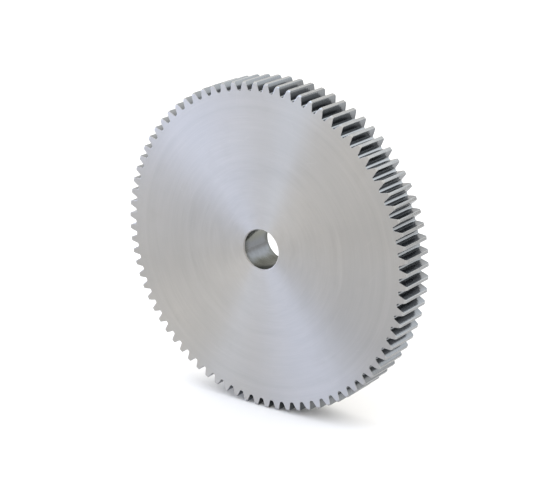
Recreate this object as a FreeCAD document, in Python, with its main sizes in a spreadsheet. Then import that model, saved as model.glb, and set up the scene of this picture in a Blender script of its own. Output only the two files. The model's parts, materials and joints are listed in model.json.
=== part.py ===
import FreeCAD, Part

import math
import os

import Sketcher
from FreeCAD import Vector

# A solid disc spur gear: one piece of steel with straight involute teeth and a plain bore.
#
# Frame: millimetres, +Z up. The gear's axis lies along Y and its front face looks towards -Y.
# The origin is the centre of the gear. A tooth space is centred on +Z and one on -Z, so the
# gear stands on the tips of its two lowest teeth.

# Alias of the sheet's cell, its value, and what it is. Lengths are in mm and angles in degrees.
DRIVING_SIZES = (
    ("module_size", 2.0, "module"),
    ("teeth", 80, "number of teeth"),
    ("pressure_angle", 20.0, "pressure angle"),
    ("addendum_factor", 1.0, "addendum, in modules"),
    ("dedendum_factor", 1.25, "dedendum, in modules"),
    ("root_fillet_factor", 0.38, "root fillet radius, in modules"),
    ("backlash", 0.15, "extra width of a tooth space at the pitch circle"),
    ("face_width", 20.0, "width of the disc and of its teeth"),
    ("bore_diameter", 20.0, "diameter of the plain bore"),
    ("bore_chamfer", 0.5, "leg of the 45 degree chamfer at both ends of the bore"),
    ("tip_chamfer", 0.7, "leg of the 45 degree chamfer at both ends of the tooth tips"),
    ("cutter_overrun", 1.0, "how far the tooth space's outline runs past the tip circle"),
)

# Sizes that follow from the sheet, as expressions.
PITCH_RADIUS = "(Sizes.module_size * Sizes.teeth / 2)"
TIP_RADIUS = f"({PITCH_RADIUS} + Sizes.module_size * Sizes.addendum_factor)"
ROOT_RADIUS = f"({PITCH_RADIUS} - Sizes.module_size * Sizes.dedendum_factor)"
BASE_RADIUS = f"({PITCH_RADIUS} * cos(Sizes.pressure_angle))"
ROOT_FILLET_RADIUS = "(Sizes.module_size * Sizes.root_fillet_factor)"
SPACE_TOP = f"({TIP_RADIUS} + Sizes.cutter_overrun)"
BORE_RADIUS = "(Sizes.bore_diameter / 2)"

# A flank is the circular arc that has the involute's own slope and curvature at the pitch
# circle. Its centre is where the line of action touches the base circle. Over the depth of
# these teeth it stays within 0.01 mm of the involute.
SPACE_HALF_ANGLE = f"(90 / Sizes.teeth + (Sizes.backlash / 2) / {PITCH_RADIUS} * 180 / pi)"
FLANK_CENTRE_ANGLE = f"({SPACE_HALF_ANGLE} + Sizes.pressure_angle)"
FLANK_CENTRE_X = f"({BASE_RADIUS} * sin({FLANK_CENTRE_ANGLE}))"
FLANK_CENTRE_Y = f"({BASE_RADIUS} * cos({FLANK_CENTRE_ANGLE}))"
FLANK_RADIUS = f"({PITCH_RADIUS} * sin(Sizes.pressure_angle))"

# Sketcher's names for the points of a curve, and for the sketch's own origin.
START, END, CENTRE = 1, 2, 3
SKETCH_ORIGIN = (-1, 1)

# Two radii closer than this are the same radius, in mm.
SAME_RADIUS = 1e-6
# How far a removed volume may be from the expected one, as a part of it.
VOLUME_TOLERANCE = 1e-3
# How far the number of tooth spaces found from the volumes may be from the sheet's number.
COUNT_TOLERANCE = 1e-3


def make_sheet(document):
    """The driving dimensions, one per row: description, alias and value."""
    sheet = document.addObject("Spreadsheet::Sheet", "Sizes")
    for row, (alias, value, meaning) in enumerate(DRIVING_SIZES, start=1):
        sheet.set(f"A{row}", meaning)
        sheet.set(f"B{row}", str(value))
        sheet.setAlias(f"B{row}", alias)
    document.recompute()
    return sheet


def value_of(sheet, expression):
    """What an expression comes to with the sheet's present values."""
    result = sheet.evalExpression(expression)
    return float(getattr(result, "Value", result))


def origin_feature(body, role):
    """One of the body's own origin planes or axes."""
    return next(item for item in body.Origin.OriginFeatures if item.Role == role)


def face_sketch(body, name):
    """A sketch in the gear's middle plane: its x is the row's X and its y is the row's Z."""
    sketch = body.newObject("Sketcher::SketchObject", name)
    sketch.AttachmentSupport = [(origin_feature(body, "XZ_Plane"), "")]
    sketch.MapMode = "FlatFace"
    return sketch


def drive(sketch, name, expression, *constraint):
    """Adds a named dimension to a sketch and binds it to the sheet."""
    index = sketch.addConstraint(Sketcher.Constraint(*constraint))
    sketch.renameConstraint(index, name)
    sketch.setExpression(f"Constraints.{name}", expression)


def circle_sketch(body, sheet, name, radius_expression):
    """A circle about the gear's axis."""
    sketch = face_sketch(body, name)
    radius = value_of(sheet, radius_expression)
    circle = sketch.addGeometry(Part.Circle(Vector(0, 0, 0), Vector(0, 0, 1), radius), False)
    sketch.addConstraint(Sketcher.Constraint("Coincident", circle, CENTRE, *SKETCH_ORIGIN))
    drive(sketch, "radius", radius_expression, "Radius", circle, radius)
    return sketch


def arc_between(centre, start, end):
    """The counterclockwise arc about a centre from one point to another."""
    from_centre = start - centre
    to_end = end - centre
    start_angle = math.atan2(from_centre.y, from_centre.x)
    end_angle = math.atan2(to_end.y, to_end.x)
    if end_angle < start_angle:
        end_angle += 2 * math.pi
    circle = Part.Circle(centre, Vector(0, 0, 1), from_centre.Length)
    return Part.ArcOfCircle(circle, start_angle, end_angle)


def mirrored(point):
    """A point's image across the tooth space's centre line."""
    return Vector(-point.x, point.y, 0)


def space_points(sheet):
    """The key points of the right half of the tooth space that is centred on the sketch's y."""
    root_radius = value_of(sheet, ROOT_RADIUS)
    fillet_radius = value_of(sheet, ROOT_FILLET_RADIUS)
    flank_radius = value_of(sheet, FLANK_RADIUS)
    top = value_of(sheet, SPACE_TOP)
    flank_centre = Vector(value_of(sheet, FLANK_CENTRE_X), value_of(sheet, FLANK_CENTRE_Y), 0)

    # The fillet touches the root circle and the flank from outside, so its centre is a fixed
    # distance from each of their centres.
    to_root = root_radius + fillet_radius
    to_flank = flank_radius + fillet_radius
    spacing = flank_centre.Length
    along = (to_root**2 - to_flank**2 + spacing**2) / (2 * spacing)
    across = math.sqrt(to_root**2 - along**2)
    direction = flank_centre / spacing
    fillet_centre = direction * along + Vector(-direction.y, direction.x, 0) * across

    root_end = fillet_centre / to_root * root_radius
    flank_start = flank_centre + (fillet_centre - flank_centre) / to_flank * flank_radius
    rise = top - flank_centre.y
    flank_end = Vector(flank_centre.x - math.sqrt(flank_radius**2 - rise**2), top, 0)
    return flank_centre, fillet_centre, root_end, flank_start, flank_end


def tooth_space_sketch(body, sheet):
    """The outline that the cutter removes between two teeth, closed outside the tip circle."""
    flank_centre, fillet_centre, root_end, flank_start, flank_end = space_points(sheet)
    sketch = face_sketch(body, "tooth_space_outline")

    root = sketch.addGeometry(arc_between(Vector(0, 0, 0), root_end, mirrored(root_end)), False)
    right_fillet = sketch.addGeometry(arc_between(fillet_centre, root_end, flank_start), False)
    left_fillet = sketch.addGeometry(
        arc_between(mirrored(fillet_centre), mirrored(flank_start), mirrored(root_end)), False)
    right_flank = sketch.addGeometry(arc_between(flank_centre, flank_end, flank_start), False)
    left_flank = sketch.addGeometry(
        arc_between(mirrored(flank_centre), mirrored(flank_start), mirrored(flank_end)), False)
    lid = sketch.addGeometry(Part.LineSegment(flank_end, mirrored(flank_end)), False)

    sketch.addConstraint([
        Sketcher.Constraint("Coincident", root, CENTRE, *SKETCH_ORIGIN),
        Sketcher.Constraint("Tangent", root, START, right_fillet, START),
        Sketcher.Constraint("Tangent", right_fillet, END, right_flank, END),
        Sketcher.Constraint("Tangent", root, END, left_fillet, END),
        Sketcher.Constraint("Tangent", left_fillet, START, left_flank, START),
        Sketcher.Constraint("Coincident", right_flank, START, lid, START),
        Sketcher.Constraint("Coincident", left_flank, END, lid, END),
        Sketcher.Constraint("Horizontal", lid),
    ])

    drive(sketch, "root_radius", ROOT_RADIUS, "Radius", root, value_of(sheet, ROOT_RADIUS))
    drive(sketch, "space_top", SPACE_TOP, "DistanceY", *SKETCH_ORIGIN, lid, START, flank_end.y)
    for side, fillet, flank, sign in (("right", right_fillet, right_flank, 1),
                                      ("left", left_fillet, left_flank, -1)):
        drive(sketch, f"{side}_fillet_radius", ROOT_FILLET_RADIUS,
              "Radius", fillet, value_of(sheet, ROOT_FILLET_RADIUS))
        drive(sketch, f"{side}_flank_radius", FLANK_RADIUS,
              "Radius", flank, value_of(sheet, FLANK_RADIUS))
        drive(sketch, f"{side}_flank_height", FLANK_CENTRE_Y,
              "DistanceY", *SKETCH_ORIGIN, flank, CENTRE, flank_centre.y)
        centre_pair = (*SKETCH_ORIGIN, flank, CENTRE) if sign > 0 else (flank, CENTRE, *SKETCH_ORIGIN)
        drive(sketch, f"{side}_flank_offset", FLANK_CENTRE_X,
              "DistanceX", *centre_pair, flank_centre.x)
    return sketch


def rim_edges(shape, radius):
    """Names of the shape's whole circles of one radius."""
    names = []
    for number, edge in enumerate(shape.Edges, start=1):
        if isinstance(edge.Curve, Part.Circle) and edge.isClosed():
            if abs(edge.Curve.Radius - radius) < SAME_RADIUS:
                names.append(f"Edge{number}")
    return names


def pad_both_ways(body, name, sketch, width_expression):
    """A pad of the given width, half of it on each side of the middle plane."""
    pad = body.newObject("PartDesign::Pad", name)
    pad.Profile = sketch
    pad.SideType = "Symmetric"
    pad.setExpression("Length", width_expression)
    return pad


def cut_through(body, name, sketch):
    """A pocket right through the gear, cut both ways from the middle plane."""
    pocket = body.newObject("PartDesign::Pocket", name)
    pocket.Profile = sketch
    pocket.SideType = "Symmetric"
    pocket.Type = "ThroughAll"
    return pocket


def chamfer_rims(body, name, base, radius, leg_expression):
    """A 45 degree chamfer on every rim of one radius."""
    chamfer = body.newObject("PartDesign::Chamfer", name)
    chamfer.Base = (base, rim_edges(base.Shape, radius))
    chamfer.setExpression("Size", leg_expression)
    return chamfer


def cut_teeth(body, sheet):
    """One tooth space, then the same space all round the axis."""
    space = cut_through(body, "tooth_space", tooth_space_sketch(body, sheet))
    body.Document.recompute()
    pattern = body.newObject("PartDesign::PolarPattern", "all_tooth_spaces")
    pattern.Originals = [space]
    pattern.Axis = (origin_feature(body, "Y_Axis"), [""])
    pattern.Angle = 360
    pattern.setExpression("Occurrences", "Sizes.teeth")
    body.Tip = pattern
    return space, pattern


def make_gear(document, sheet):
    """The gear in the order a shop makes it: turned blank, bore, chamfers, then the teeth."""
    body = document.addObject("PartDesign::Body", "spur_gear")
    body.Label = "spur_gear"
    blank = pad_both_ways(body, "blank", circle_sketch(body, sheet, "tip_circle", TIP_RADIUS),
                          "Sizes.face_width")
    document.recompute()
    bore = cut_through(body, "bore", circle_sketch(body, sheet, "bore_circle", BORE_RADIUS))
    document.recompute()
    bored_ends = chamfer_rims(body, "bore_chamfers", bore, value_of(sheet, BORE_RADIUS),
                              "Sizes.bore_chamfer")
    document.recompute()
    turned = chamfer_rims(body, "tip_chamfers", bored_ends, value_of(sheet, TIP_RADIUS),
                          "Sizes.tip_chamfer")
    document.recompute()
    space, pattern = cut_teeth(body, sheet)
    document.recompute()
    body.Placement = FreeCAD.Placement()
    check_cuts(sheet, blank, bore, turned, space, pattern)
    return body


def check_cuts(sheet, blank, bore, turned, space, pattern):
    """Stops if a pocket removed nothing or the pattern missed a tooth space."""
    bore_volume = math.pi * value_of(sheet, BORE_RADIUS)**2 * value_of(sheet, "Sizes.face_width")
    one_space = turned.Shape.Volume - space.Shape.Volume
    all_spaces = turned.Shape.Volume - pattern.Shape.Volume
    bored_out = blank.Shape.Volume - bore.Shape.Volume
    if abs(bored_out - bore_volume) > VOLUME_TOLERANCE * bore_volume:
        raise RuntimeError("the bore's volume is wrong")
    if one_space <= 0:
        raise RuntimeError("the tooth space cut nothing")
    if abs(all_spaces / one_space - value_of(sheet, "Sizes.teeth")) > COUNT_TOLERANCE:
        raise RuntimeError("the pattern didn't cut every tooth space")


def check_document(document, bodies):
    """Stops if any object failed, any sketch is loose, or any body's shape is unusable."""
    for item in document.Objects:
        if "Invalid" in item.State or "Error" in item.State:
            raise RuntimeError(f"{item.Name} failed: {item.State}")
        if item.isDerivedFrom("Sketcher::SketchObject") and not item.FullyConstrained:
            raise RuntimeError(f"{item.Name} isn't fully constrained")
    for body in bodies:
        if body.Shape.isNull() or not body.Shape.isValid() or len(body.Shape.Solids) != 1:
            raise RuntimeError(f"{body.Label} has no valid single solid")


def main():
    document = FreeCAD.newDocument("spur_gear")
    sheet = make_sheet(document)
    bodies = [make_gear(document, sheet)]
    check_document(document, bodies)
    os.makedirs("parts", exist_ok=True)
    for body in bodies:
        body.Shape.exportStep(f"parts/{body.Label}.step")
        box = body.Shape.BoundBox
        print(f"{body.Label}: {box.XLength:.3f} x {box.YLength:.3f} x {box.ZLength:.3f} mm, "
              f"{body.Shape.Volume:.1f} mm3, {len(body.Shape.Faces)} faces")


main()
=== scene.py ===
import json
import math

import bmesh
import bpy
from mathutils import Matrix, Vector


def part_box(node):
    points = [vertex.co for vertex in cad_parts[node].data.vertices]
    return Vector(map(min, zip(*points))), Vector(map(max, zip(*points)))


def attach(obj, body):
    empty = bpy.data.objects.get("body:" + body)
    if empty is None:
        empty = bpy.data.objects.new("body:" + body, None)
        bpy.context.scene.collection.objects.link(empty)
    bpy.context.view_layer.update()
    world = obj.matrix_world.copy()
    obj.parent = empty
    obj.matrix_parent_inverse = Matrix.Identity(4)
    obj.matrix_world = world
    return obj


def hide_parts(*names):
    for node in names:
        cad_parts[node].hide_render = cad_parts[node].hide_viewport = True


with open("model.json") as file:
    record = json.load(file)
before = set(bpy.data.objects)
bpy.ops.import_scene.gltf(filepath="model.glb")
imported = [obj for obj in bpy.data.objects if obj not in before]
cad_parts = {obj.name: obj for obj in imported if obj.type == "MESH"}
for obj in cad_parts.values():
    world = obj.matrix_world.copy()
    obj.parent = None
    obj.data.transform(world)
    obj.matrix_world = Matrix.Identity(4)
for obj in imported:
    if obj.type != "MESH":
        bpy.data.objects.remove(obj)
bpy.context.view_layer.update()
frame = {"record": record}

# Millimetres in a metre.
MM = 1000

# The gear, in metres and radians. Its axis is Y, its front face looks towards -Y and +Z is up.
TEETH = 80
MODULE = 0.002
PRESSURE_ANGLE = math.radians(20)
BACKLASH = 0.00015
ADDENDUM = 1.0 * MODULE
DEDENDUM = 1.25 * MODULE
ROOT_FILLET = 0.38 * MODULE
TIP_CHAMFER = 0.0007
BORE_CHAMFER = 0.0005
EDGE_BREAK = 0.00012

PITCH_RADIUS = MODULE * TEETH / 2
BASE_RADIUS = PITCH_RADIUS * math.cos(PRESSURE_ANGLE)
TIP_RADIUS = PITCH_RADIUS + ADDENDUM
ROOT_RADIUS = PITCH_RADIUS - DEDENDUM

LOW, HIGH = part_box("spur_gear")
HALF_WIDTH = (HIGH.y - LOW.y) / 2
FLOOR_Z = LOW.z
BORE_RADIUS = next(m for m in frame["record"]["mounts"] if m["name"] == "bore")["dims"]["r_mm"] / MM

# How finely the mesh follows its curves.
FILLET_STEPS = 4
FLANK_STEPS = 7
TIP_ROUND_STEPS = 2
SPOKES_PER_HALF_TOOTH = 2
# How often the search for the fillet halves its range.
HALVINGS = 60
# The turn between two faces from which their shared edge is drawn sharp.
SHARP_FROM = math.radians(20)

# The zones of the surface. Each has a material of its own, in the same order in SURFACES below.
FACE, FLANK, LAND, BORE, EDGE = range(5)

# Materials measure in millimetres: the root and tip circles, and a side's distance from the middle.
ROOT = ROOT_RADIUS * MM
TIP = TIP_RADIUS * MM
SIDE = HALF_WIDTH * MM

# The white studio: the strength of its light at the horizon and overhead. The overhead light starts
# where a direction's own z is the ceiling's height.
HORIZON_LIGHT = 1.15
CEILING_LIGHT = 1.7
CEILING_HEIGHT = 0.5
STUDIO_TINT = (1, 0.985, 0.96, 1)

FLOOR_REACH = 4
FLOOR_COLOUR = (0.8, 0.8, 0.8, 1)
FLOOR_ROUGHNESS = 0.7
FLOOR_SPECULAR = 0.2

# The camera of the photograph. Its angles are in degrees, its lens and sensor in millimetres, and
# its lengths in metres. It aims a little to the right of the gear's centre and below it.
CAMERA_AZIMUTH = 35.41
CAMERA_ELEVATION = 18.43
CAMERA_DISTANCE = 0.8369
AIM_RIGHT = 0.00344
AIM_UP = -0.00374
LENS = 110.92
SENSOR_WIDTH = 36
NEAREST_SEEN = 0.01


def add_object(name, data):
    """A new object of the scene, for a mesh, a light or a camera."""
    item = bpy.data.objects.new(name, data)
    bpy.context.scene.collection.objects.link(item)
    return item


# ---------------------------------------------------------------- tooth outline

def direction(angle):
    """The unit vector at an angle from +y towards +x, in the flat (x, y) plane of the outline."""
    return Vector((math.sin(angle), math.cos(angle)))


def involute(angle):
    """How far an involute has turned where its pressure angle is the given one."""
    return math.tan(angle) - angle


def flank_half_angle(radius):
    """Half the angle that a tooth space spans at a radius, on the involute flanks."""
    at_pitch = math.pi / 2 / TEETH + BACKLASH / 2 / PITCH_RADIUS
    at_radius = math.acos(BASE_RADIUS / radius)
    return at_pitch + involute(at_radius) - involute(PRESSURE_ANGLE)


def flank_point(radius):
    """The flank point at a radius, for the tooth space that is centred on +y."""
    angle = flank_half_angle(radius)
    return Vector((radius * math.sin(angle), radius * math.cos(angle)))


def fillet_centre_at(radius):
    """Centre of a fillet that touches the flank at a radius."""
    slope = math.acos(BASE_RADIUS / radius)
    normal_angle = flank_half_angle(radius) + slope
    normal = Vector((-math.cos(normal_angle), math.sin(normal_angle)))
    return flank_point(radius) + normal * ROOT_FILLET


def fillet_geometry():
    """Centre of the root fillet, and the radius at which it meets the flank."""
    centre_radius = ROOT_RADIUS + ROOT_FILLET
    low, high = ROOT_RADIUS, PITCH_RADIUS
    for _ in range(HALVINGS):
        radius = (low + high) / 2
        centre = fillet_centre_at(radius)
        if centre.length < centre_radius:
            low = radius
        else:
            high = radius
    return centre, radius


def arc(centre, start, end, steps):
    """Points on the shorter arc from start to end, both included."""
    a, b = start - centre, end - centre
    turn = math.atan2(a.x * b.y - a.y * b.x, a.dot(b))
    points = []
    for i in range(steps + 1):
        angle = turn * i / steps
        c, s = math.cos(angle), math.sin(angle)
        points.append(centre + Vector((a.x * c - a.y * s, a.x * s + a.y * c)))
    return points


def half_outline(tip_radius):
    """From the middle of a tooth space up to the middle of the next tooth's tip."""
    fillet_centre, meet_radius = fillet_geometry()
    root_end = fillet_centre.normalized() * ROOT_RADIUS
    points = [Vector((0, ROOT_RADIUS))]
    points += arc(fillet_centre, root_end, flank_point(meet_radius), FILLET_STEPS)
    last_radius = tip_radius - EDGE_BREAK
    for i in range(1, FLANK_STEPS + 1):
        points.append(flank_point(meet_radius + (last_radius - meet_radius) * i / FLANK_STEPS))
    # The corner between flank and tip is rounded by a curve from its foot, past the sharp point.
    foot = points[-1]
    sharp = flank_point(tip_radius)
    end = direction(flank_half_angle(tip_radius) + EDGE_BREAK / tip_radius) * tip_radius
    for i in range(1, TIP_ROUND_STEPS + 1):
        t = i / TIP_ROUND_STEPS
        points.append(foot * (1 - t) ** 2 + sharp * 2 * t * (1 - t) + end * t ** 2)
    points.append(direction(math.pi / TEETH) * tip_radius)
    return points


def mirrored(point, angle):
    """A point's image in the line through the origin at an angle from +y towards +x."""
    axis = direction(angle)
    return axis * 2 * point.dot(axis) - point


def inset(points, depth):
    """The outline of one half, moved into the metal by a depth."""
    moved = []
    before = [mirrored(points[1], 0)] + points[:-1]
    after = points[1:] + [mirrored(points[-2], math.pi / TEETH)]
    for point, a, b in zip(points, before, after):
        along = (b - a).normalized()
        moved.append(point + Vector((along.y, -along.x)) * depth)
    return moved


def whole_outline(tip_radius, depth):
    """All round the gear, clockwise from +y, and how many of the points belong to each tooth."""
    half = inset(half_outline(tip_radius), depth)
    other = [mirrored(p, math.pi / TEETH) for p in reversed(half[1:-1])]
    pitch = half + other
    outline = []
    for tooth in range(TEETH):
        angle = 2 * math.pi * tooth / TEETH
        c, s = math.cos(angle), math.sin(angle)
        outline += [Vector((p.x * c + p.y * s, -p.x * s + p.y * c)) for p in pitch]
    return outline, len(pitch)


# ---------------------------------------------------------------- gear mesh

def sections():
    """(distance from the middle plane, tip radius, inset) from the middle out to a face."""
    # How far the middle of a rounded edge lies inside the two surfaces that it joins.
    rounding = EDGE_BREAK * (1 - math.sqrt(0.5))
    chamfer_start = HALF_WIDTH - TIP_CHAMFER
    face_tip = TIP_RADIUS - TIP_CHAMFER
    return [
        (chamfer_start - EDGE_BREAK, TIP_RADIUS, 0),
        (chamfer_start, TIP_RADIUS - rounding, 0),
        (chamfer_start + EDGE_BREAK, TIP_RADIUS - EDGE_BREAK, 0),
        (HALF_WIDTH - EDGE_BREAK, face_tip + EDGE_BREAK, 0),
        (HALF_WIDTH - rounding, face_tip + rounding, rounding),
        (HALF_WIDTH, face_tip, EDGE_BREAK),
    ]


def zones_round_rim():
    """The zone of each step of the whole outline."""
    half = [FLANK] * (1 + FILLET_STEPS + FLANK_STEPS) + [EDGE] * TIP_ROUND_STEPS + [LAND]
    return (half + half[::-1]) * TEETH


def zones_between(first_y, second_y, round_rim):
    """The zones of the band between two sections: broken edges at a face, then the tip chamfer."""
    furthest = max(abs(first_y), abs(second_y))
    if furthest > HALF_WIDTH - EDGE_BREAK / 2:
        return [EDGE] * len(round_rim)
    if furthest > HALF_WIDTH - TIP_CHAMFER - EDGE_BREAK / 2:
        return [EDGE if zone == LAND else zone for zone in round_rim]
    return round_rim


def add_ring(bm, outline, y):
    """Vertices along an outline, at a distance along the gear's axis."""
    return [bm.verts.new((p.x, y, p.y)) for p in outline]


def bridge(bm, first, second, zones):
    """Quads between two rings of as many points, with a zone for each."""
    count = len(first)
    for i in range(count):
        j = (i + 1) % count
        face = bm.faces.new((first[i], first[j], second[j], second[i]))
        face.material_index = zones[i]


def fill_side(bm, ring, per_tooth, y):
    """The flat side: each tooth as a ladder of quads, then rings in to the bore's chamfer."""
    half = per_tooth // 2
    outer = []
    for tooth in range(TEETH):
        start = tooth * per_tooth
        end = start + per_tooth
        for i in range(SPOKES_PER_HALF_TOOTH, half):
            corners = [ring[start + i], ring[start + i + 1], ring[end - i - 1], ring[end - i]]
            # The last rung is a single point, in the middle of the tooth's tip.
            if i + 1 == half:
                corners.pop(2)
            bm.faces.new(corners).material_index = FACE
        outer += ring[start:start + SPOKES_PER_HALF_TOOTH + 1]
        outer += ring[end - SPOKES_PER_HALF_TOOTH:end]
    angles = [math.atan2(v.co.x, v.co.z) for v in outer]
    circles = (ROOT_RADIUS - MODULE, (ROOT_RADIUS + BORE_RADIUS) / 2, BORE_RADIUS * 2,
               BORE_RADIUS + BORE_CHAMFER)
    for radius in circles:
        inner = add_ring(bm, [direction(angle) * radius for angle in angles], y)
        bridge(bm, outer, inner, [FACE] * len(angles))
        outer = inner
    return outer, angles


def fill_bore(bm, front, back, angles):
    """The wall of the bore and the chamfers at both of its mouths."""
    wall_half = HALF_WIDTH - BORE_CHAMFER
    wall = [direction(angle) * BORE_RADIUS for angle in angles]
    front_wall = add_ring(bm, wall, -wall_half)
    back_wall = add_ring(bm, wall, wall_half)
    bridge(bm, front, front_wall, [FACE] * len(angles))
    bridge(bm, front_wall, back_wall, [BORE] * len(angles))
    bridge(bm, back_wall, back, [FACE] * len(angles))


def build_gear():
    """A closed mesh of the gear with its edges broken, and its faces sorted into zones."""
    bm = bmesh.new()
    half = sections()
    stations = [(-y, tip, depth) for y, tip, depth in reversed(half)] + half
    round_rim = zones_round_rim()
    rings = []
    for y, tip, depth in stations:
        outline, per_tooth = whole_outline(tip, depth)
        rings.append(add_ring(bm, outline, y))
    for i in range(len(rings) - 1):
        first_y, second_y = stations[i][0], stations[i + 1][0]
        bridge(bm, rings[i], rings[i + 1], zones_between(first_y, second_y, round_rim))
    front, angles = fill_side(bm, rings[0], per_tooth, -HALF_WIDTH)
    back, _ = fill_side(bm, rings[-1], per_tooth, HALF_WIDTH)
    fill_bore(bm, front, back, angles)
    bmesh.ops.recalc_face_normals(bm, faces=bm.faces)
    for face in bm.faces:
        face.smooth = True
    for edge in bm.edges:
        edge.smooth = edge.calc_face_angle(0) < SHARP_FROM
    mesh = bpy.data.meshes.new("gear")
    bm.to_mesh(mesh)
    bm.free()
    return add_object("gear", mesh)


# ---------------------------------------------------------------- materials

class Metal:
    """One steel surface: a Principled shader, and helpers that add nodes in front of it.

    Lengths are in millimetres. radius and y place a point across and along the gear's axis, and
    cosine and sine say which way it lies from the axis.
    """

    def __init__(self, name, anisotropy, edge_tint):
        self.material = bpy.data.materials.new(name)
        self.material.use_nodes = True
        self.nodes = self.material.node_tree.nodes
        self.links = self.material.node_tree.links
        self.shader = self.nodes["Principled BSDF"]
        self.shader.inputs["Metallic"].default_value = 1
        self.shader.inputs["Specular Tint"].default_value = (edge_tint, edge_tint, edge_tint, 1)
        if anisotropy:
            self.add_grain(anisotropy)
        place = self.nodes.new("ShaderNodeTexCoord").outputs["Object"]
        self.place = self.scaled(place, MM)
        x, self.y, z = self.split(self.place)
        self.radius = self.math("SQRT", self.math("ADD", self.times(x, x), self.times(z, z)))
        self.cosine = self.math("DIVIDE", x, self.radius)
        self.sine = self.math("DIVIDE", z, self.radius)

    def add_grain(self, anisotropy):
        """Turning marks that run round the axis and spread the light across themselves."""
        quarter_turn = 0.25
        self.shader.inputs["Anisotropic"].default_value = anisotropy
        self.shader.inputs["Anisotropic Rotation"].default_value = quarter_turn
        tangent = self.nodes.new("ShaderNodeTangent")
        tangent.direction_type = "RADIAL"
        tangent.axis = "Y"
        self.link(tangent.outputs[0], self.shader.inputs["Tangent"])

    def link(self, value, socket):
        """Connects a node's output to a socket, or sets the socket to a plain value."""
        if isinstance(value, bpy.types.NodeSocket):
            self.links.new(value, socket)
        else:
            socket.default_value = value

    def math(self, operation, *values):
        node = self.nodes.new("ShaderNodeMath")
        node.operation = operation
        for value, socket in zip(values, node.inputs):
            self.link(value, socket)
        return node.outputs[0]

    def times(self, first, second):
        return self.math("MULTIPLY", first, second)

    def highest(self, *values):
        result = values[0]
        for value in values[1:]:
            result = self.math("MAXIMUM", result, value)
        return result

    def total(self, *values):
        result = values[0]
        for value in values[1:]:
            result = self.math("ADD", result, value)
        return result

    def scaled(self, vector, factor):
        node = self.nodes.new("ShaderNodeVectorMath")
        node.operation = "SCALE"
        self.link(vector, node.inputs[0])
        self.link(factor, node.inputs["Scale"])
        return node.outputs[0]

    def split(self, vector):
        node = self.nodes.new("ShaderNodeSeparateXYZ")
        self.link(vector, node.inputs[0])
        return node.outputs

    def combined(self, x, y, z):
        node = self.nodes.new("ShaderNodeCombineXYZ")
        for value, socket in zip((x, y, z), node.inputs):
            self.link(value, socket)
        return node.outputs[0]

    def noise(self, vector, scale, detail=2.0):
        """Noise from 0 to 1 around 0.5. A scale of 1 gives features of about a millimetre."""
        node = self.nodes.new("ShaderNodeTexNoise")
        self.link(vector, node.inputs["Vector"])
        node.inputs["Scale"].default_value = scale
        node.inputs["Detail"].default_value = detail
        return node.outputs[0]

    def mapped(self, value, low, high, to_low=0.0, to_high=1.0):
        """A smooth step: to_low at low, to_high at high."""
        node = self.nodes.new("ShaderNodeMapRange")
        node.interpolation_type = "SMOOTHSTEP"
        for number, socket in zip((value, low, high, to_low, to_high), node.inputs):
            self.link(number, socket)
        return node.outputs[0]

    def around(self, noise, amount):
        """Turns noise into a number around zero, of about plus or minus an amount."""
        # Noise stays mostly within this reach of its middle.
        middle, reach = 0.5, 0.25
        return self.times(self.math("SUBTRACT", noise, middle), amount / reach)

    def marks(self, across, pitch, spread):
        """Cutting marks: a pitch apart in one direction, and long around the axis.

        The spread is about how many times a mark changes in one radian.
        """
        vector = self.combined(self.math("DIVIDE", across, pitch), self.times(self.cosine, spread),
                               self.times(self.sine, spread))
        return self.noise(vector, 1)

    def ring(self, radius, reach):
        """A soft ring about the axis: 1 on its radius, and 0 from a reach away."""
        distance = self.math("ABSOLUTE", self.math("SUBTRACT", self.radius, radius))
        return self.mapped(distance, reach, 0.0)

    def blend(self, factor, first, second):
        node = self.nodes.new("ShaderNodeMix")
        node.data_type = "RGBA"
        sockets = {socket.identifier: socket for socket in node.inputs}
        self.link(factor, sockets["Factor_Float"])
        self.link((*first, 1), sockets["A_Color"])
        self.link((*second, 1), sockets["B_Color"])
        return next(socket for socket in node.outputs if socket.identifier == "Result_Color")

    def finish(self, cool, warm, warmth, shade, roughness, height, depth):
        """Colour between two tones times a shade, roughness, and bumps of a height and depth."""
        colour = self.scaled(self.blend(warmth, cool, warm), shade)
        self.link(colour, self.shader.inputs["Base Color"])
        self.link(roughness, self.shader.inputs["Roughness"])
        bump = self.nodes.new("ShaderNodeBump")
        bump.inputs["Distance"].default_value = depth / MM
        self.link(height, bump.inputs["Height"])
        self.link(bump.outputs[0], self.shader.inputs["Normal"])
        return self.material


def scratches(metal, spacing, width):
    """A few thin handling marks: 1 on a mark and 0 off it.

    Space is cut into cells, and each cell's random colour gives its mark a direction, a length
    and whether it is there at all.
    """
    longest = spacing * 0.4
    cells_without = 0.55
    cell = metal.nodes.new("ShaderNodeTexVoronoi")
    metal.link(metal.place, cell.inputs["Vector"])
    cell.inputs["Scale"].default_value = 1 / spacing
    turn, length, presence = metal.split(cell.outputs["Color"])
    from_middle = metal.nodes.new("ShaderNodeVectorMath")
    from_middle.operation = "SUBTRACT"
    metal.link(metal.place, from_middle.inputs[0])
    metal.link(cell.outputs["Position"], from_middle.inputs[1])
    turned = metal.nodes.new("ShaderNodeVectorRotate")
    turned.rotation_type = "Y_AXIS"
    metal.link(from_middle.outputs[0], turned.inputs["Vector"])
    metal.link(metal.times(turn, math.pi), turned.inputs["Angle"])
    along, _, across = metal.split(turned.outputs[0])
    inside = metal.mapped(metal.math("ABSOLUTE", along), metal.times(length, longest), 0.0)
    thin = metal.mapped(metal.math("ABSOLUTE", across), width, 0.0)
    chosen = metal.math("GREATER_THAN", presence, cells_without)
    return metal.times(metal.times(inside, thin), chosen)


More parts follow.
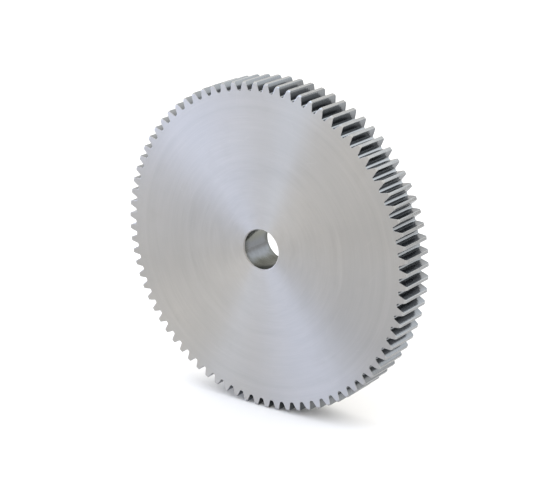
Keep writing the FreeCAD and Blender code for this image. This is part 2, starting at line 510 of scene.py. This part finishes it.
def tool_stops(metal):
    """Faint rings, light and dark, where the facing tool stopped and started again."""
    rings = ((72.4, 2.4, 1), (69.8, 1.9, -1), (46.0, 2.2, 0.7), (42.9, 2.0, -0.6))
    return metal.total(*(metal.times(metal.ring(radius, reach), strength)
                         for radius, reach, strength in rings))


def turned_face():
    """The faced sides: a fine concentric grain that spreads light into wedges."""
    metal = Metal("turned_face", anisotropy=0.985, edge_tint=0.88)
    broad = metal.marks(metal.radius, 7.0, 1.3)
    bands = metal.marks(metal.radius, 1.6, 2.4)
    lines = metal.marks(metal.radius, 0.55, 5.0)
    feed = metal.marks(metal.radius, 0.16, 3.0)
    clouds = metal.noise(metal.place, 0.035, 3)
    smudges = metal.mapped(metal.noise(metal.place, 0.07, 4), 0.56, 0.72)
    handling = metal.highest(scratches(metal, 27.0, 0.09), scratches(metal, 11.0, 0.06))
    # The feed stays the same while the surface speed falls, so the finish is duller near the bore.
    hub = metal.mapped(metal.radius, 12, 58, 1, 0)
    shade = metal.total(1.0, metal.around(broad, 0.02), metal.around(bands, 0.028),
                        metal.around(lines, 0.018), metal.around(feed, 0.035),
                        metal.around(clouds, 0.02), metal.times(smudges, -0.025),
                        metal.times(tool_stops(metal), 0.02), metal.times(handling, 0.14))
    roughness = metal.total(0.578, metal.around(broad, 0.015), metal.around(bands, 0.022),
                            metal.around(lines, 0.012), metal.times(smudges, 0.02),
                            metal.times(hub, 0.16), metal.times(handling, -0.06))
    height = metal.total(metal.times(lines, 0.8), feed, metal.times(handling, -1))
    return metal.finish(cool=(0.476, 0.472, 0.465), warm=(0.503, 0.488, 0.465), warmth=clouds,
                        shade=shade, roughness=roughness, height=height, depth=0.006)


def cut_flank():
    """Hobbed flanks, with painted shade towards their feet and a painted highlight at the root; feed
    scallops on both.
    """
    metal = Metal("cut_flank", anisotropy=0, edge_tint=0.75)
    scallop_pitch = 1.7
    slow = metal.noise(metal.place, 0.12, 2)
    scallop = metal.math("SINE", metal.total(metal.times(metal.y, 2 * math.pi / scallop_pitch),
                                             metal.times(slow, 9)))
    streaks = metal.noise(metal.combined(metal.times(metal.cosine, 40),
                                         metal.math("DIVIDE", metal.y, 0.3),
                                         metal.times(metal.sine, 40)), 1, 3)
    # Painted shade: this darkens the base colour towards the feet of the flanks, down in the tooth
    # spaces.
    painted_foot_shade = metal.mapped(metal.radius, ROOT - 0.1, TIP, 0.6, 1.0)
    # Painted highlight: this brightens the base colour at the root, standing in for the light it
    # reflects.
    painted_root_highlight = metal.mapped(metal.radius, ROOT, ROOT + 0.5, 1, 0)
    break_up = metal.noise(metal.place, 1.1, 3)
    ends = metal.mapped(metal.math("ABSOLUTE", metal.y), SIDE - 0.8, SIDE)
    tips = metal.mapped(metal.radius, TIP - 0.6, TIP)
    wear = metal.times(metal.highest(ends, tips), metal.mapped(break_up, 0.35, 0.65, 0.4, 1))
    shade = metal.total(painted_foot_shade, metal.times(scallop, 0.03), metal.around(streaks, 0.07),
                        metal.around(slow, 0.05), metal.times(wear, 0.2), metal.times(painted_root_highlight, 0.68))
    roughness = metal.total(0.19, metal.around(streaks, 0.03), metal.around(break_up, 0.02),
                            metal.times(wear, 0.08))
    height = metal.total(metal.times(scallop, 0.5), metal.times(streaks, 0.3))
    return metal.finish(cool=(0.211, 0.229, 0.25), warm=(0.238, 0.243, 0.247), warmth=break_up,
                        shade=shade, roughness=roughness, height=height, depth=0.012)


def turned_land():
    """The tips of the teeth: what is left of the turned outside of the blank."""
    metal = Metal("turned_land", anisotropy=0.5, edge_tint=0.85)
    bands = metal.marks(metal.y, 1.3, 3.0)
    lines = metal.marks(metal.y, 0.28, 6.0)
    slow = metal.noise(metal.place, 0.15, 2)
    wear = metal.mapped(metal.math("ABSOLUTE", metal.y), SIDE - 1.4, SIDE - 0.6)
    shade = metal.total(1.0, metal.around(bands, 0.06), metal.around(lines, 0.07),
                        metal.around(slow, 0.05), metal.times(wear, 0.1))
    roughness = metal.total(0.26, metal.around(bands, 0.04), metal.around(lines, 0.03))
    return metal.finish(cool=(0.285, 0.295, 0.305), warm=(0.305, 0.308, 0.308), warmth=slow,
                        shade=shade, roughness=roughness, height=lines, depth=0.004)


def bored_wall():
    """The bore: fine boring marks, darker blotches near the mouths, and painted shade along the
    bottom and at the top by the mouths.
    """
    metal = Metal("bored_wall", anisotropy=0.5, edge_tint=0.8)
    bands = metal.marks(metal.y, 1.8, 2.0)
    lines = metal.marks(metal.y, 0.3, 4.0)
    stains = metal.noise(metal.place, 0.22, 3)
    mouths = metal.mapped(metal.math("ABSOLUTE", metal.y), SIDE - 5.5, SIDE - 0.4)
    # -1 at the bottom of the bore and 1 at its top, with an uneven edge to each level.
    level = metal.total(metal.sine, metal.around(stains, 0.06))
    # Painted shade: bottom darkens the base colour along the bottom of the bore, and top darkens it
    # at its top near the mouths.
    bottom = metal.mapped(level, -0.6, -0.98)
    top = metal.times(mouths, metal.mapped(level, 0.25, 0.75))
    spots = metal.times(mouths, metal.mapped(stains, 0.35, 0.62, 0, 0.7))
    # The blotches near the mouths and the painted shade: together they darken the base colour and
    # make it rougher.
    blotches_and_painted_shade = metal.highest(spots, bottom, top)
    # A warmer, greener tone over the upper half of the bore and over the blotches and painted shade.
    warm_tint_top_and_shade = metal.highest(blotches_and_painted_shade, metal.mapped(level, -0.1, 0.4))
    shade = metal.total(1.0, metal.around(bands, 0.07), metal.around(lines, 0.06),
                        metal.times(blotches_and_painted_shade, -0.55))
    roughness = metal.total(0.2, metal.around(bands, 0.03), metal.around(lines, 0.03),
                            metal.times(blotches_and_painted_shade, 0.1))
    return metal.finish(cool=(0.17, 0.178, 0.19), warm=(0.182, 0.188, 0.163), warmth=warm_tint_top_and_shade,
                        shade=shade, roughness=roughness, height=lines, depth=0.005)


def broken_edge():
    """Tip chamfers and deburred edges: lighter from handling, with small nicks."""
    metal = Metal("broken_edge", anisotropy=0, edge_tint=0.9)
    slow = metal.noise(metal.place, 0.3, 2)
    nicks = metal.noise(metal.place, 2.6, 3)
    dull = metal.mapped(nicks, 0.6, 0.72)
    shade = metal.total(1.0, metal.around(slow, 0.08), metal.around(nicks, 0.06),
                        metal.times(dull, -0.2))
    roughness = metal.total(0.3, metal.around(nicks, 0.06), metal.times(dull, 0.12))
    return metal.finish(cool=(0.335, 0.342, 0.348), warm=(0.355, 0.352, 0.342), warmth=slow,
                        shade=shade, roughness=roughness, height=nicks, depth=0.01)


# The material of each zone, in the zones' order.
SURFACES = (turned_face, cut_flank, turned_land, bored_wall, broken_edge)


# ---------------------------------------------------------------- studio

def aim(item, place, target):
    """Puts a light or a camera at a place, looking at a target with its top side up."""
    item.location = place
    item.rotation_euler = (Vector(target) - Vector(place)).to_track_quat("-Z", "Y").to_euler()


def area_light(name, place, target, size, power, colour):
    """A rectangular softbox. Its size is its width and height, and its power is in watts."""
    data = bpy.data.lights.new(name, "AREA")
    data.shape = "RECTANGLE"
    data.size, data.size_y = size
    data.energy = power
    data.color = colour
    aim(add_object(name, data), place, target)


def add_floor():
    """A plain white floor under the gear."""
    mesh = bpy.data.meshes.new("floor")
    low, high = -FLOOR_REACH, FLOOR_REACH
    corners = [(low, low), (high, low), (high, high), (low, high)]
    mesh.from_pydata([(x, y, FLOOR_Z) for x, y in corners], [], [(0, 1, 2, 3)])
    floor = add_object("floor", mesh)
    material = bpy.data.materials.new("floor_white")
    material.use_nodes = True
    shader = material.node_tree.nodes["Principled BSDF"]
    shader.inputs["Base Color"].default_value = FLOOR_COLOUR
    shader.inputs["Roughness"].default_value = FLOOR_ROUGHNESS
    shader.inputs["Specular IOR Level"].default_value = FLOOR_SPECULAR
    mesh.materials.append(material)


def add_world():
    """A white studio that gets brighter from the horizon up to the ceiling."""
    world = bpy.data.worlds.new("studio")
    bpy.context.scene.world = world
    world.use_nodes = True
    nodes, links = world.node_tree.nodes, world.node_tree.links
    heading = nodes.new("ShaderNodeTexCoord")
    split = nodes.new("ShaderNodeSeparateXYZ")
    rise = nodes.new("ShaderNodeMapRange")
    rise.interpolation_type = "SMOOTHSTEP"
    rise.inputs["From Max"].default_value = CEILING_HEIGHT
    rise.inputs["To Min"].default_value = HORIZON_LIGHT
    rise.inputs["To Max"].default_value = CEILING_LIGHT
    back = nodes["Background"]
    back.inputs["Color"].default_value = STUDIO_TINT
    links.new(heading.outputs["Generated"], split.inputs[0])
    links.new(split.outputs["Z"], rise.inputs["Value"])
    links.new(rise.outputs[0], back.inputs["Strength"])


def add_lights():
    """The left one makes the face's bright wedges, the top one a fainter pair close to them, and
    the right one, behind the gear, lights the rim."""
    area_light("left_softbox", place=(-0.62, -0.39, 0.06), target=(0, 0, 0), size=(0.65, 0.24),
               power=2.6, colour=(0.57, 0.68, 1))
    area_light("top_softbox", place=(-0.08, -0.18, 0.42), target=(0, 0, 0.05), size=(0.16, 0.35),
               power=0.38, colour=(0.4, 0.6, 1))
    area_light("right_softbox", place=(0.45, 0.78, 0.5), target=(0, 0, 0), size=(0.8, 0.6),
               power=0.5, colour=(0.6, 0.8, 1))


def add_camera():
    """The photograph's own view of the gear."""
    azimuth, elevation = math.radians(CAMERA_AZIMUTH), math.radians(CAMERA_ELEVATION)
    away = Vector((math.sin(azimuth) * math.cos(elevation),
                   -math.cos(azimuth) * math.cos(elevation), math.sin(elevation)))
    right = Vector((math.cos(azimuth), math.sin(azimuth), 0))
    data = bpy.data.cameras.new("camera")
    data.lens = LENS
    data.sensor_width = SENSOR_WIDTH
    data.sensor_fit = "HORIZONTAL"
    data.clip_start = NEAREST_SEEN
    camera = add_object("camera", data)
    aim(camera, away * CAMERA_DISTANCE, right * AIM_RIGHT + away.cross(right) * AIM_UP)
    bpy.context.scene.camera = camera


gear = build_gear()
for surface in SURFACES:
    gear.data.materials.append(surface())
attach(gear, "root")
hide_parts("spur_gear")
add_floor()
add_world()
add_lights()
add_camera()
bpy.context.scene.view_settings.view_transform = "Standard"
